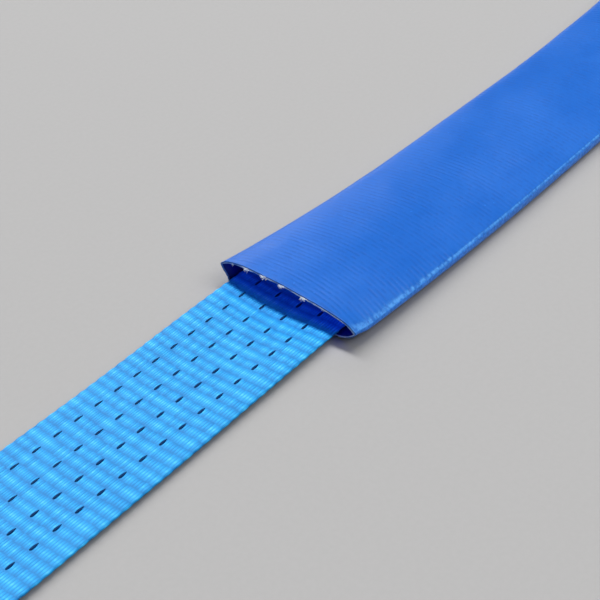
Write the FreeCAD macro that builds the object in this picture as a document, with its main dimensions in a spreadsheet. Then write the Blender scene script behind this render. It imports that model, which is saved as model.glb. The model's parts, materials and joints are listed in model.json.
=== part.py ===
"""Flat web sling with two soft eyes and a loose wear sleeve, in millimetres.

The sling lies straight on the plane z = 0, along X. The origin is on that plane, at the middle of the
sling's length and width. End A is at -X and end B at +X. The web's tails are folded under the body and
sewn to it, so the body lies one web thickness up and the sleeve's lower wall passes under it.
"""
import FreeCAD, Part
import math
import os

import Sketcher

DIMENSIONS = {
    # the web, its eyes and its splices
    "web_width": 60.0,
    "web_thickness": 2.2,
    "working_length": 1500.0,  # between the bearing points of the two eyes
    "eye_length": 230.0,  # from an eye's root to its bearing point
    "splice_length": 160.0,
    "pin_radius": 15.0,  # of the pin or hook that the bight is laid round
    "pad_thickness": 1.6,
    "pad_leg": 70.0,  # straight part of the wear pad on each leg of the eye
    # marker yarns, which surface as dashes
    "marker_pitch": 11.7,
    "marker_length": 4.8,
    "marker_width": 0.9,
    "marker_rise": 0.2,
    "marker_spacing": 12.0,  # from one line of dashes to the next
    # sewing
    "thread_width": 0.9,
    "thread_rise": 0.4,
    "seam_spacing": 8.5,
    "seam_margin": 8.0,  # from a seam's end to the end of the splice
    "tack_spacing": 4.0,
    "tack_margin": 3.0,
    "tack_inset": 3.0,
    # the sleeve, a coated woven tube that is pressed flat
    "sleeve_length": 420.0,
    "mouth_place": -136.0,  # X of the front mouth's cut edge
    "flat_width": 78.0,
    "flat_height": 7.0,
    "flat_offset": -6.5,  # Y of the flat stretch's middle
    "mouth_offset": -3.2,  # Y of the mouth's middle
    "mouth_width": 77.3,
    "mouth_crown": 15.2,  # height of the upper lip midway between the folds
    "mouth_left": 10.8,  # height of the fold on the +Y side
    "mouth_right": 8.0,  # height of the fold on the -Y side
    "mouth_toe_left": 3.2,  # how far the lower lip meets the ground inside each fold
    "mouth_toe_right": 10.0,
    "mouth_run": 120.0,  # length over which a mouth flattens
    "cover_wall": 0.5,
    "jacket_wall": 0.4,
    "lining_wall": 0.3,
    "yarn_end_radius": 0.35,
    "yarn_end_length": 3.5,
    "yarn_end_spacing": 11.5,
    # the identification label
    "label_length": 58.0,
    "label_width": 45.0,
    "label_sheet": 0.5,
    "label_cover": 0.3,
    "label_lip": 1.5,  # how far the cover stands past the sheet
    "tape_length": 9.0,
    "tape_thickness": 0.8,
    "tape_place": 5.0,  # from the splice's inner end to the tape
}
SEAMS = 7  # lengthwise seams in a splice
TACK_ROWS = 3
MARKER_LINES = 4
YARN_ENDS = 6

doc = FreeCAD.newDocument("flat_web_sling")


def make_sheet():
    """The driving dimensions, one aliased cell each."""
    sheet = doc.addObject("Spreadsheet::Sheet", "Dimensions")
    for row, (alias, value) in enumerate(DIMENSIONS.items(), start=1):
        sheet.set(f"A{row}", alias.replace("_", " "))
        sheet.set(f"B{row}", str(value))
        sheet.setAlias(f"B{row}", alias)
    doc.recompute()
    return sheet


sheet = make_sheet()

# Expressions that several sub-parts share
ROOT = "(Dimensions.working_length / 2 - Dimensions.eye_length)"
BIGHT = "(Dimensions.working_length / 2 - Dimensions.pin_radius)"
SPLICE_END = f"({ROOT} - Dimensions.splice_length)"
LOOP_RADIUS = "(Dimensions.pin_radius + Dimensions.pad_thickness + Dimensions.web_thickness)"
BODY_TOP = "(2 * Dimensions.web_thickness)"
SLOPE = (
    f"(atan(({LOOP_RADIUS} - {BODY_TOP}) / ({BIGHT} - {ROOT}))"
    f" + asin({LOOP_RADIUS} / sqrt(({LOOP_RADIUS} - {BODY_TOP}) ^ 2 + ({BIGHT} - {ROOT}) ^ 2)))"
)


def size(alias):
    """A driving dimension, as a number of millimetres."""
    return float(sheet.get(alias))


def web_numbers():
    """The places that the free-form parts and first sketch shapes are worked out from."""
    root = size("working_length") / 2 - size("eye_length")
    bight = size("working_length") / 2 - size("pin_radius")
    radius = size("pin_radius") + size("pad_thickness") + size("web_thickness")
    rise = radius - 2 * size("web_thickness")
    run = bight - root
    slope = math.atan(rise / run) + math.asin(radius / math.hypot(rise, run))
    return root, bight, radius, slope


ROOT_X, BIGHT_X, RADIUS, SLOPE_ANGLE = web_numbers()


def bind(item, expressions):
    """Ties properties of an object to expressions on the sheet."""
    for name, expression in expressions.items():
        item.setExpression(name, expression)


def box(label, length, width, height, x, y, z):
    """A straight strip whose lowest corner is at x, y, z: all six are expressions."""
    item = doc.addObject("Part::Box", label)
    item.Label = label
    names = ("Length", "Width", "Height", "Placement.Base.x", "Placement.Base.y", "Placement.Base.z")
    bind(item, dict(zip(names, (length, width, height, x, y, z))))
    return item


def plane_of(body, role):
    """One of the body's own origin planes."""
    return next(item for item in body.Origin.OriginFeatures if item.Role == role)


def body_sketch(label, role):
    """A new body and an empty sketch on one of its origin planes."""
    body = doc.addObject("PartDesign::Body", label)
    body.Label = label
    sketch = body.newObject("Sketcher::SketchObject", f"{label}_sketch")
    sketch.AttachmentSupport = [(plane_of(body, role), "")]
    sketch.MapMode = "FlatFace"
    return body, sketch


def pad_across(body, sketch):
    """Pads a side view to the web's width, evenly to both sides."""
    pad = body.newObject("PartDesign::Pad", f"{body.Label}_pad")
    pad.Profile = sketch
    pad.SideType = "Symmetric"
    pad.setExpression("Length", "Dimensions.web_width")
    body.Tip = pad
    return pad


def rule(sketch, kind, *references, expression=None):
    """Adds one constraint, driven by an expression where it has a value."""
    index = sketch.addConstraint(Sketcher.Constraint(kind, *references))
    if expression is not None:
        sketch.setExpression(f"Constraints[{index}]", expression)
    return index


def line(start, end):
    """A sketch line between two (x, z) pairs."""
    return Part.LineSegment(FreeCAD.Vector(*start, 0), FreeCAD.Vector(*end, 0))


def bight_arc(radius):
    """A sketch arc round the pin, from straight down to square with the upper leg."""
    circle = Part.Circle(FreeCAD.Vector(BIGHT_X, RADIUS, 0), FreeCAD.Vector(0, 0, 1), radius)
    return Part.ArcOfCircle(circle, -math.pi / 2, math.pi / 2 + SLOPE_ANGLE)


def upper_point(radius, back):
    """A point on the upper leg's line at this radius from the bight, this far back along the leg."""
    x = BIGHT_X - radius * math.sin(SLOPE_ANGLE) - back * math.cos(SLOPE_ANGLE)
    z = RADIUS + radius * math.cos(SLOPE_ANGLE) - back * math.sin(SLOPE_ANGLE)
    return x, z


def make_eye_loop(label):
    """The web turned into an eye: a level lower leg, the bight and an upper leg that comes down to the body."""
    body, sketch = body_sketch(label, "XZ_Plane")
    thick = size("web_thickness")
    leg = (BIGHT_X - ROOT_X) / math.cos(SLOPE_ANGLE)
    outer_low = sketch.addGeometry(line((ROOT_X, 0), (BIGHT_X, 0)))
    outer_arc = sketch.addGeometry(bight_arc(RADIUS))
    outer_high = sketch.addGeometry(line(upper_point(RADIUS, 0), (ROOT_X, 2 * thick)))
    root_end = sketch.addGeometry(line((ROOT_X, 2 * thick), (ROOT_X, 0)))
    inner_low = sketch.addGeometry(line((ROOT_X + 0.2, thick), (BIGHT_X, thick)))
    inner_arc = sketch.addGeometry(bight_arc(RADIUS - thick))
    inner_high = sketch.addGeometry(line(upper_point(RADIUS - thick, 0), upper_point(RADIUS - thick, leg)))

    rule(sketch, "Coincident", outer_low, 1, root_end, 2)
    rule(sketch, "Horizontal", outer_low)
    rule(sketch, "PointOnObject", outer_low, 1, -1)
    rule(sketch, "DistanceX", -1, 1, outer_low, 1, ROOT_X, expression=ROOT)
    rule(sketch, "Tangent", outer_low, 2, outer_arc, 1)
    rule(sketch, "Radius", outer_arc, RADIUS, expression=LOOP_RADIUS)
    rule(sketch, "DistanceX", -1, 1, outer_arc, 3, BIGHT_X, expression=BIGHT)
    rule(sketch, "Tangent", outer_arc, 2, outer_high, 1)
    rule(sketch, "Coincident", outer_high, 2, root_end, 1)
    rule(sketch, "Vertical", root_end)
    rule(sketch, "DistanceY", -1, 1, root_end, 1, 2 * thick, expression=BODY_TOP)

    rule(sketch, "Horizontal", inner_low)
    rule(sketch, "DistanceY", -1, 1, inner_low, 1, thick, expression="Dimensions.web_thickness")
    rule(sketch, "Tangent", inner_low, 2, inner_arc, 1)
    rule(sketch, "Coincident", inner_arc, 3, outer_arc, 3)
    rule(sketch, "Tangent", inner_arc, 2, inner_high, 1)
    rule(sketch, "Parallel", inner_high, outer_high)
    rule(sketch, "Coincident", inner_high, 2, inner_low, 1)
    pad_across(body, sketch)
    return body


def make_eye_pad(label):
    """The wear pad: a second strip that lines the inside of the bight and part of each leg."""
    body, sketch = body_sketch(label, "XZ_Plane")
    leg = size("pad_leg")
    outer = RADIUS - size("web_thickness")
    inner = size("pin_radius")
    low, high = RADIUS - outer, RADIUS - inner
    start = BIGHT_X - leg
    outer_low = sketch.addGeometry(line((start, low), (BIGHT_X, low)))
    outer_arc = sketch.addGeometry(bight_arc(outer))
    outer_high = sketch.addGeometry(line(upper_point(outer, 0), upper_point(outer, leg)))
    high_end = sketch.addGeometry(line(upper_point(outer, leg), upper_point(inner, leg)))
    inner_high = sketch.addGeometry(line(upper_point(inner, 0), upper_point(inner, leg)))
    inner_arc = sketch.addGeometry(bight_arc(inner))
    inner_low = sketch.addGeometry(line((start, high), (BIGHT_X, high)))
    low_end = sketch.addGeometry(line((start, low), (start, high)))

    rule(sketch, "Horizontal", outer_low)
    rule(sketch, "DistanceY", -1, 1, outer_low, 1, low, expression="Dimensions.web_thickness")
    rule(sketch, "DistanceX", -1, 1, outer_arc, 3, BIGHT_X, expression=BIGHT)
    rule(sketch, "DistanceY", -1, 1, outer_arc, 3, RADIUS, expression=LOOP_RADIUS)
    rule(sketch, "Tangent", outer_low, 2, outer_arc, 1)
    rule(sketch, "Tangent", outer_arc, 2, outer_high, 1)
    rule(sketch, "Angle", outer_low, 1, outer_high, 1, math.pi + SLOPE_ANGLE, expression=f"180 deg + {SLOPE}")
    rule(sketch, "Distance", outer_low, leg, expression="Dimensions.pad_leg")
    rule(sketch, "Distance", outer_high, leg, expression="Dimensions.pad_leg")
    rule(sketch, "Coincident", outer_high, 2, high_end, 1)
    rule(sketch, "Perpendicular", outer_high, high_end)
    rule(sketch, "Coincident", inner_high, 2, high_end, 2)
    rule(sketch, "Coincident", inner_arc, 3, outer_arc, 3)
    rule(sketch, "Radius", inner_arc, inner, expression="Dimensions.pin_radius")
    rule(sketch, "Tangent", inner_arc, 2, inner_high, 1)
    rule(sketch, "Tangent", inner_arc, 1, inner_low, 2)
    rule(sketch, "Horizontal", inner_low)
    rule(sketch, "Coincident", inner_low, 1, low_end, 2)
    rule(sketch, "Coincident", outer_low, 1, low_end, 1)
    rule(sketch, "Vertical", low_end)
    pad_across(body, sketch)
    return body


def make_rows(label, first, length, width, height, level, count, gap, along):
    """Equal raised strips on a level face: one rectangle, padded up and repeated along X or Y.

    first is the lowest corner (x, y) of the first strip, and every size is an expression.
    """
    body, sketch = body_sketch(label, "XY_Plane")
    bind(sketch, {"AttachmentOffset.Base.z": level})
    corners = [(0, 0), (4, 0), (4, 1), (0, 1)]
    sides = [sketch.addGeometry(line(corners[i], corners[(i + 1) % 4])) for i in range(4)]
    for i in range(4):
        rule(sketch, "Coincident", sides[i], 2, sides[(i + 1) % 4], 1)
    rule(sketch, "Horizontal", sides[0])
    rule(sketch, "Horizontal", sides[2])
    rule(sketch, "Vertical", sides[1])
    rule(sketch, "Vertical", sides[3])
    rule(sketch, "DistanceX", sides[0], 1, sides[0], 2, 4.0, expression=length)
    rule(sketch, "DistanceY", sides[1], 1, sides[1], 2, 1.0, expression=width)
    rule(sketch, "DistanceX", -1, 1, sides[0], 1, 1.0, expression=first[0])
    rule(sketch, "DistanceY", -1, 1, sides[0], 1, 1.0, expression=first[1])
    pad = body.newObject("PartDesign::Pad", f"{label}_pad")
    pad.Profile = sketch
    pad.setExpression("Length", height)
    body.AllowCompound = True
    doc.recompute()
    pattern = body.newObject("PartDesign::LinearPattern", f"{label}_pattern")
    pattern.Originals = [pad]
    axis = next(item for item in body.Origin.OriginFeatures if item.Role == f"{along}_Axis")
    pattern.Direction = (axis, [""])
    pattern.Occurrences = count
    pattern.setExpression("Length", f"({gap}) * {count - 1}")
    body.Tip = pattern
    return body


def make_markers():
    """The marker yarns: dashes on the body's top face, in lines that are even across the web."""
    reach = 2 * ROOT_X - 2 * size("splice_length")
    count = int(reach // size("marker_pitch"))
    nodes = []
    for number in range(MARKER_LINES):
        place = number - (MARKER_LINES - 1) / 2
        start = f"-(Dimensions.marker_pitch * {count - 1} + Dimensions.marker_length) / 2"
        side = f"{place} * Dimensions.marker_spacing - Dimensions.marker_width / 2"
        node = make_rows(
            f"marker_yarn_{number + 1}",
            (start, side),
            "Dimensions.marker_length",
            "Dimensions.marker_width",
            "Dimensions.marker_rise",
            BODY_TOP,
            count,
            "Dimensions.marker_pitch",
            "X",
        )
        nodes.append(node)
    return nodes


def mirrored(label, source):
    """The same piece at end A, mirrored in the plane x = 0."""
    item = doc.addObject("Part::Mirroring", label)
    item.Label = label
    item.Source = source
    item.Normal = FreeCAD.Vector(1, 0, 0)
    return item


def make_splice_seams(label):
    """Lengthwise seams that hold the tail under the body."""
    length = "Dimensions.splice_length - 2 * Dimensions.seam_margin - (Dimensions.tack_spacing * 2)"
    return make_rows(
        label,
        (
            f"{SPLICE_END} + Dimensions.seam_margin + Dimensions.tape_length",
            f"-Dimensions.seam_spacing * {(SEAMS - 1) / 2} - Dimensions.thread_width / 2",
        ),
        f"{length} - Dimensions.tape_length",
        "Dimensions.thread_width",
        "Dimensions.thread_rise",
        BODY_TOP,
        SEAMS,
        "Dimensions.seam_spacing",
        "Y",
    )


def make_root_tack(label):
    """Cross rows of thread at the root of the eye."""
    span = f"Dimensions.tack_spacing * {TACK_ROWS - 1}"
    return make_rows(
        label,
        (
            f"{ROOT} - Dimensions.tack_margin - Dimensions.thread_width - {span}",
            "-Dimensions.web_width / 2 + Dimensions.tack_inset",
        ),
        "Dimensions.thread_width",
        "Dimensions.web_width - 2 * Dimensions.tack_inset",
        "Dimensions.thread_rise",
        BODY_TOP,
        TACK_ROWS,
        "Dimensions.tack_spacing",
        "X",
    )


def make_pad_stitching(label):
    """Two cross rows of thread at each end of the wear pad, on the side that bears."""
    rows = []
    inner = size("pin_radius")
    for number in range(4):
        row = doc.addObject("Part::Box", f"{label}_{number}")
        bind(
            row,
            {
                "Length": "Dimensions.thread_width",
                "Width": "Dimensions.web_width - 2 * Dimensions.tack_inset",
                "Height": "Dimensions.thread_rise",
            },
        )
        back = size("pad_leg") - size("tack_margin") - size("tack_spacing") * (number % 2)
        side = size("tack_inset") - size("web_width") / 2
        if number < 2:
            spot = FreeCAD.Vector(BIGHT_X - back, side, RADIUS - inner)
            turn = 0.0
        else:
            x, z = upper_point(inner - size("thread_rise"), back)
            spot = FreeCAD.Vector(x, side, z)
            turn = -math.degrees(SLOPE_ANGLE)
        row.Placement = FreeCAD.Placement(spot, FreeCAD.Rotation(FreeCAD.Vector(0, 1, 0), turn))
        rows.append(row)
    group = doc.addObject("Part::Compound", label)
    group.Label = label
    group.Links = rows
    return group


def flat_section(x, inset):
    """A cross-section of the sleeve's flat stretch: level top and bottom with round sides."""
    middle = size("flat_offset")
    radius = size("flat_height") / 2 - inset
    reach = (size("flat_width") - size("flat_height")) / 2
    top, bottom = size("flat_height") - inset, inset
    centre = size("flat_height") / 2
    right, left = middle - reach, middle + reach

    def point(y, z):
        return FreeCAD.Vector(x, y, z)

    edges = [
        Part.LineSegment(point(left, bottom), point(right, bottom)),
        Part.Arc(point(right, bottom), point(right - radius, centre), point(right, top)),
        Part.LineSegment(point(right, top), point(left, top)),
        Part.Arc(point(left, top), point(left + radius, centre), point(left, bottom)),
    ]
    return Part.Wire([edge.toShape() for edge in edges])


def mouth_corners():
    """The mouth's outer outline as (y, z) pairs: left toe, right toe, right fold, left fold, and its crown."""
    middle, half = size("mouth_offset"), size("mouth_width") / 2
    left_fold = (middle + half, size("mouth_left"))
    right_fold = (middle - half, size("mouth_right"))
    left_toe = (middle + half - size("mouth_toe_left"), 0.0)
    right_toe = (middle - half + size("mouth_toe_right"), 0.0)
    crown = (middle, size("mouth_crown"))
    return left_toe, right_toe, right_fold, left_fold, crown


def lip_circle():
    """Centre and radius of the circle that the upper lip's outer edge lies on."""
    _, _, right_fold, left_fold, crown = mouth_corners()
    points = [FreeCAD.Vector(0, *pair) for pair in (right_fold, crown, left_fold)]
    circle = Part.Arc(*points).toShape().Curve
    return circle.Center.y, circle.Center.z, circle.Radius


def shifted(start, end, inset):
    """A line moved to its left-hand side by the inset, as a point and a direction."""
    run = math.hypot(end[0] - start[0], end[1] - start[1])
    way = ((end[0] - start[0]) / run, (end[1] - start[1]) / run)
    return (start[0] + inset * way[1], start[1] - inset * way[0]), way


def on_level(spot, way, level):
    """Where a line crosses a level."""
    step = (level - spot[1]) / way[1]
    return spot[0] + step * way[0], level


def on_circle(spot, way, centre, radius):
    """Where a line that starts inside a circle leaves it."""
    across = (spot[0] - centre[0]) * way[0] + (spot[1] - centre[1]) * way[1]
    square = (spot[0] - centre[0]) ** 2 + (spot[1] - centre[1]) ** 2 - radius**2
    step = -across + math.sqrt(across**2 - square)
    return spot[0] + step * way[0], spot[1] + step * way[1]


def mouth_section(x, inset):
    """A cross-section at the sleeve's cut end: a lens with a flat foot, open over the web."""
    left_toe, right_toe, right_fold, left_fold, _ = mouth_corners()
    centre_y, centre_z, radius = lip_circle()
    right_line = shifted(right_toe, right_fold, inset)
    left_line = shifted(left_toe, left_fold, -inset)
    right_low = on_level(*right_line, inset)
    left_low = on_level(*left_line, inset)
    right_high = on_circle(*right_line, (centre_y, centre_z), radius - inset)
    left_high = on_circle(*left_line, (centre_y, centre_z), radius - inset)
    crown = (centre_y, centre_z + radius - inset)

    def point(pair):
        return FreeCAD.Vector(x, *pair)

    edges = [
        Part.LineSegment(point(left_low), point(right_low)),
        Part.LineSegment(point(right_low), point(right_high)),
        Part.Arc(point(right_high), point(crown), point(left_high)),
        Part.LineSegment(point(left_high), point(left_low)),
    ]
    return Part.Wire([edge.toShape() for edge in edges])


def sleeve_core(inset):
    """The solid inside the sleeve's outer surface moved in by the inset."""
    front = size("mouth_place")
    back = front + size("sleeve_length")
    run = size("mouth_run")
    sections = [
        mouth_section(front, inset),
        flat_section(front + run, inset),
        flat_section(back - run, inset),
        mouth_section(back, inset),
    ]
    return Part.makeLoft(sections, True, True)


def make_sleeve():
    """The sleeve's three bonded layers, each a tube between two cores."""
    depth = 0.0
    nodes = []
    for label, wall in (
        ("sleeve_cover", "cover_wall"),
        ("sleeve_jacket", "jacket_wall"),
        ("sleeve_lining", "lining_wall"),
    ):
        item = doc.addObject("Part::Feature", label)
        item.Label = label
        item.Shape = sleeve_core(depth).cut(sleeve_core(depth + size(wall)))
        depth += size(wall)
        nodes.append(item)
    return nodes


def make_yarn_ends(label, x, way):
    """Loose ends of the jacket's yarn, which stand out of the upper lip's cut edge."""
    centre_y, centre_z, radius = lip_circle()
    middle = radius - size("cover_wall") - size("jacket_wall") / 2
    ends = []
    for number in range(YARN_ENDS):
        y = size("mouth_offset") + (number - (YARN_ENDS - 1) / 2) * size("yarn_end_spacing")
        z = centre_z + math.sqrt(middle**2 - (y - centre_y) ** 2)
        end = doc.addObject("Part::Cylinder", f"{label}_{number}")
        bind(end, {"Radius": "Dimensions.yarn_end_radius", "Height": "Dimensions.yarn_end_length"})
        turn = FreeCAD.Rotation(FreeCAD.Vector(0, 0, 1), FreeCAD.Vector(way, 0, 0))
        end.Placement = FreeCAD.Placement(FreeCAD.Vector(x, y, z), turn)
        ends.append(end)
    group = doc.addObject("Part::Compound", label)
    group.Label = label
    group.Links = ends
    return group


def make_label():
    """The label at end A: a tape sewn to the splice, and the sheet in its cover that hangs from the tape."""
    sheet_z = f"{BODY_TOP} + Dimensions.thread_rise + 0.1"
    tape_x = f"-{SPLICE_END} - Dimensions.tape_place - Dimensions.tape_length"
    cover_width = "Dimensions.label_width + 2 * Dimensions.label_lip"
    tape = box(
        "label_tape",
        "Dimensions.tape_length",
        cover_width,
        "Dimensions.tape_thickness",
        tape_x,
        "-Dimensions.label_width / 2 - Dimensions.label_lip",
        BODY_TOP,
    )
    stitching = box(
        "label_stitching",
        "Dimensions.thread_width",
        "Dimensions.label_width",
        "Dimensions.thread_rise",
        f"{tape_x} + Dimensions.tape_length / 2",
        "-Dimensions.label_width / 2",
        f"{BODY_TOP} + Dimensions.tape_thickness",
    )
    sheet_part = box(
        "label_sheet",
        "Dimensions.label_length",
        "Dimensions.label_width",
        "Dimensions.label_sheet",
        f"{tape_x} - Dimensions.label_length",
        "-Dimensions.label_width / 2",
        sheet_z,
    )
    cover = box(
        "label_cover",
        "Dimensions.label_length + Dimensions.label_lip",
        cover_width,
        "Dimensions.label_cover",
        f"{tape_x} - Dimensions.label_length - Dimensions.label_lip",
        "-Dimensions.label_width / 2 - Dimensions.label_lip",
        f"{sheet_z} + Dimensions.label_sheet",
    )
    return [tape, stitching, sheet_part, cover]


def make_web():
    """The body of the web and its two tails, which are sewn under it."""
    half = "-Dimensions.web_width / 2"
    body = box(
        "body_web",
        f"2 * {ROOT}",
        "Dimensions.web_width",
        "Dimensions.web_thickness",
        f"-{ROOT}",
        half,
        "Dimensions.web_thickness",
    )
    tails = [
        box(label, "Dimensions.splice_length", "Dimensions.web_width", "Dimensions.web_thickness", x, half, "0")
        for label, x in (("tail_a", f"-{ROOT}"), ("tail_b", SPLICE_END))
    ]
    return [body, *tails]


def make_ends():
    """Each piece of end B, and the same piece mirrored for end A."""
    nodes = []
    for name, make in (
        ("eye_loop", make_eye_loop),
        ("eye_pad", make_eye_pad),
        ("pad_stitching", make_pad_stitching),
        ("splice_stitching", make_splice_seams),
        ("root_tack", make_root_tack),
    ):
        piece = make(f"{name}_b")
        nodes += [piece, mirrored(f"{name}_a", piece)]
    return nodes


def check_and_write(nodes):
    """Stops on a failed object or an empty or invalid shape, and writes one file for each node."""
    doc.recompute()
    for item in doc.Objects:
        if "Invalid" in item.State or "Error" in item.State:
            raise RuntimeError(f"{item.Label}: {item.State}")
    os.makedirs("parts", exist_ok=True)
    for node in nodes:
        shape = node.Shape
        if shape.isNull() or not shape.isValid() or not shape.Solids:
            raise RuntimeError(f"{node.Label} has no valid solid")
        shape.exportStep(f"parts/{node.Label}.step")
        box_now = shape.BoundBox
        print(
            f"{node.Label}: {len(shape.Solids)} solids, {shape.Volume:.1f} mm3,"
            f" x {box_now.XMin:.2f} to {box_now.XMax:.2f}, y {box_now.YMin:.2f} to {box_now.YMax:.2f},"
            f" z {box_now.ZMin:.2f} to {box_now.ZMax:.2f}"
        )


front = size("mouth_place")
back = front + size("sleeve_length")
check_and_write(
    [
        *make_web(),
        *make_ends(),
        *make_markers(),
        *make_sleeve(),
        make_yarn_ends("yarn_ends_front", front, -1),
        make_yarn_ends("yarn_ends_rear", back, 1),
        *make_label(),
    ]
)
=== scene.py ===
"""Flat web sling with soft eyes and a loose wear sleeve: its looks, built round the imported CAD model.

Meshes are worked out in millimetres in the CAD model's frame and handed to Blender in metres.
"""

import json
import math

import bpy
import numpy as np
from mathutils import Matrix, Vector
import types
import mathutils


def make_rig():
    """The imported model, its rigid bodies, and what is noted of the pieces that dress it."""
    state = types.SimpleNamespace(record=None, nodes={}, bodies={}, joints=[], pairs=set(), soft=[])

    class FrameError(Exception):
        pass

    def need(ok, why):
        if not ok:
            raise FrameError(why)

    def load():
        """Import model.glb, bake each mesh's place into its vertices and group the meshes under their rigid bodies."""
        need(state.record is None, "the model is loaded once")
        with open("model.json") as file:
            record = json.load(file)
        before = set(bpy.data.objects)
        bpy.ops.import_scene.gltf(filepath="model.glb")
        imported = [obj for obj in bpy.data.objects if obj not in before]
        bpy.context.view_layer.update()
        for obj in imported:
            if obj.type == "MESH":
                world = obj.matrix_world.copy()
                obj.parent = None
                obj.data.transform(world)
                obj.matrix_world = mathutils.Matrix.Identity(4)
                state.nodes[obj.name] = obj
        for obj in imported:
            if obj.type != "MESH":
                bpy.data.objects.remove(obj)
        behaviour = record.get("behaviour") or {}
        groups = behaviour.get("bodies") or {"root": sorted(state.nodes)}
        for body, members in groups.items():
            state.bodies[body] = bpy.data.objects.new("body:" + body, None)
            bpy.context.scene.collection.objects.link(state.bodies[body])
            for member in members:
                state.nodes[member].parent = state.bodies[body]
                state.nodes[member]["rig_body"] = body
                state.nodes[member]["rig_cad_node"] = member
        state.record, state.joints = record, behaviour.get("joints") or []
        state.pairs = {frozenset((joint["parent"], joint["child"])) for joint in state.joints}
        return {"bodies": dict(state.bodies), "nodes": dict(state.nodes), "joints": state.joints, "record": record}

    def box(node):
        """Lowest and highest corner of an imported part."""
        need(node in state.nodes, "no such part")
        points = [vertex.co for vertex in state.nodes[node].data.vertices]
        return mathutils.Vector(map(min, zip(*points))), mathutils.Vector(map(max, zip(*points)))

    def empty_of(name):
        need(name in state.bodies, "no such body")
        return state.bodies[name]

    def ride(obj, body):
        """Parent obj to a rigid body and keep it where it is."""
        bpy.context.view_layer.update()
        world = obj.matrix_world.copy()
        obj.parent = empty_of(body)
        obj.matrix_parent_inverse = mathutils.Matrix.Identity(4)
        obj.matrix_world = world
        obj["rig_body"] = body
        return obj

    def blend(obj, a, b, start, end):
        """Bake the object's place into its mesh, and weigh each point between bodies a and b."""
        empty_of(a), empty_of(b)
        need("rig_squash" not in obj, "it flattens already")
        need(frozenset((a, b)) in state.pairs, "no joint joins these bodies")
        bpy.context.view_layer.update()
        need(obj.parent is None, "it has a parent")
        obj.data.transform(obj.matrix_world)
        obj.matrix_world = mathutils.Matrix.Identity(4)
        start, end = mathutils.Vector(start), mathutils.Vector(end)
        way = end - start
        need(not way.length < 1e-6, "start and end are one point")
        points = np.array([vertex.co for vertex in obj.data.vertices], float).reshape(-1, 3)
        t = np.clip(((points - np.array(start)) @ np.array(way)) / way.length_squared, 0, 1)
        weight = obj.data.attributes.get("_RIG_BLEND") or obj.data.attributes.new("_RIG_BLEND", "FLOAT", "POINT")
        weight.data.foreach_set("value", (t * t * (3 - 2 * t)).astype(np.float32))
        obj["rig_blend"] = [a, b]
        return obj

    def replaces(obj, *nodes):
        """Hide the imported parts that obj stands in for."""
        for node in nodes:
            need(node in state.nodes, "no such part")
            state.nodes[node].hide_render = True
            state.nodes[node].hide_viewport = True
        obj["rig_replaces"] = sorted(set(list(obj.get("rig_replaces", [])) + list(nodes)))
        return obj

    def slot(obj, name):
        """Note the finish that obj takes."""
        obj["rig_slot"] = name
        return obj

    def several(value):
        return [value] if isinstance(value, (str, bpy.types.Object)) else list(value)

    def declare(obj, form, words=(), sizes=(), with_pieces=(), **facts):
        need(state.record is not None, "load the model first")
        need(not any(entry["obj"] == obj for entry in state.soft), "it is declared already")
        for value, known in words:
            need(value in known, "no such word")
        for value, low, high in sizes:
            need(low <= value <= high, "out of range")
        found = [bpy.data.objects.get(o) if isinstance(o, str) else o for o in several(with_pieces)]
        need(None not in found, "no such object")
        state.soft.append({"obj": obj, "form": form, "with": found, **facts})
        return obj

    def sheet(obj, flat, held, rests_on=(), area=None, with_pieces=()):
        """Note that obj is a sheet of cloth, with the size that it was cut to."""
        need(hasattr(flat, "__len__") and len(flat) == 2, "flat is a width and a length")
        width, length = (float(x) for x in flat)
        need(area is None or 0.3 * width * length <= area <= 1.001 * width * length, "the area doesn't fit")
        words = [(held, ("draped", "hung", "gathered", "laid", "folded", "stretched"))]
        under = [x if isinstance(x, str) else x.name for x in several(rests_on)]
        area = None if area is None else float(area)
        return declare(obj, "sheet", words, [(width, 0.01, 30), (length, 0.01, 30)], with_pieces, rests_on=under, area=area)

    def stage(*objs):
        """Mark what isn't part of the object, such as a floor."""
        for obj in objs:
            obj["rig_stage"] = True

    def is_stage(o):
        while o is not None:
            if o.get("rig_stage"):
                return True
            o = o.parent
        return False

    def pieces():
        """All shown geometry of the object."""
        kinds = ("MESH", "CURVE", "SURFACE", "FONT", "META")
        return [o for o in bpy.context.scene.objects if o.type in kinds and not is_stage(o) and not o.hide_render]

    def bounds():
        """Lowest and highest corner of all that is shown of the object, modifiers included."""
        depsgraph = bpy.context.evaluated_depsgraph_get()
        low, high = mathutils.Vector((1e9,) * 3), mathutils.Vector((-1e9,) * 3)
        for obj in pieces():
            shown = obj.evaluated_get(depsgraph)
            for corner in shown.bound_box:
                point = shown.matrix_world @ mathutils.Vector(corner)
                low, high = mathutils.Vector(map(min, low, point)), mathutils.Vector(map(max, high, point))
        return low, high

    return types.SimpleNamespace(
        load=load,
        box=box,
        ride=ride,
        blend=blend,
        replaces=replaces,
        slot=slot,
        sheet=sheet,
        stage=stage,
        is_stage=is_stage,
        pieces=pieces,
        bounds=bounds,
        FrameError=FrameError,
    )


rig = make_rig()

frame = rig.load()
cad_low, cad_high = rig.bounds()

MM = 0.001
SIZE_FILE = "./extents.json"


# ---------------------------------------------------------------- sizes from the frame, in millimetres

def cad_box(node):
    """Lowest and highest corner of a CAD node at rest."""
    low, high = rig.box(node)
    return np.array(low) / MM, np.array(high) / MM


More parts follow.
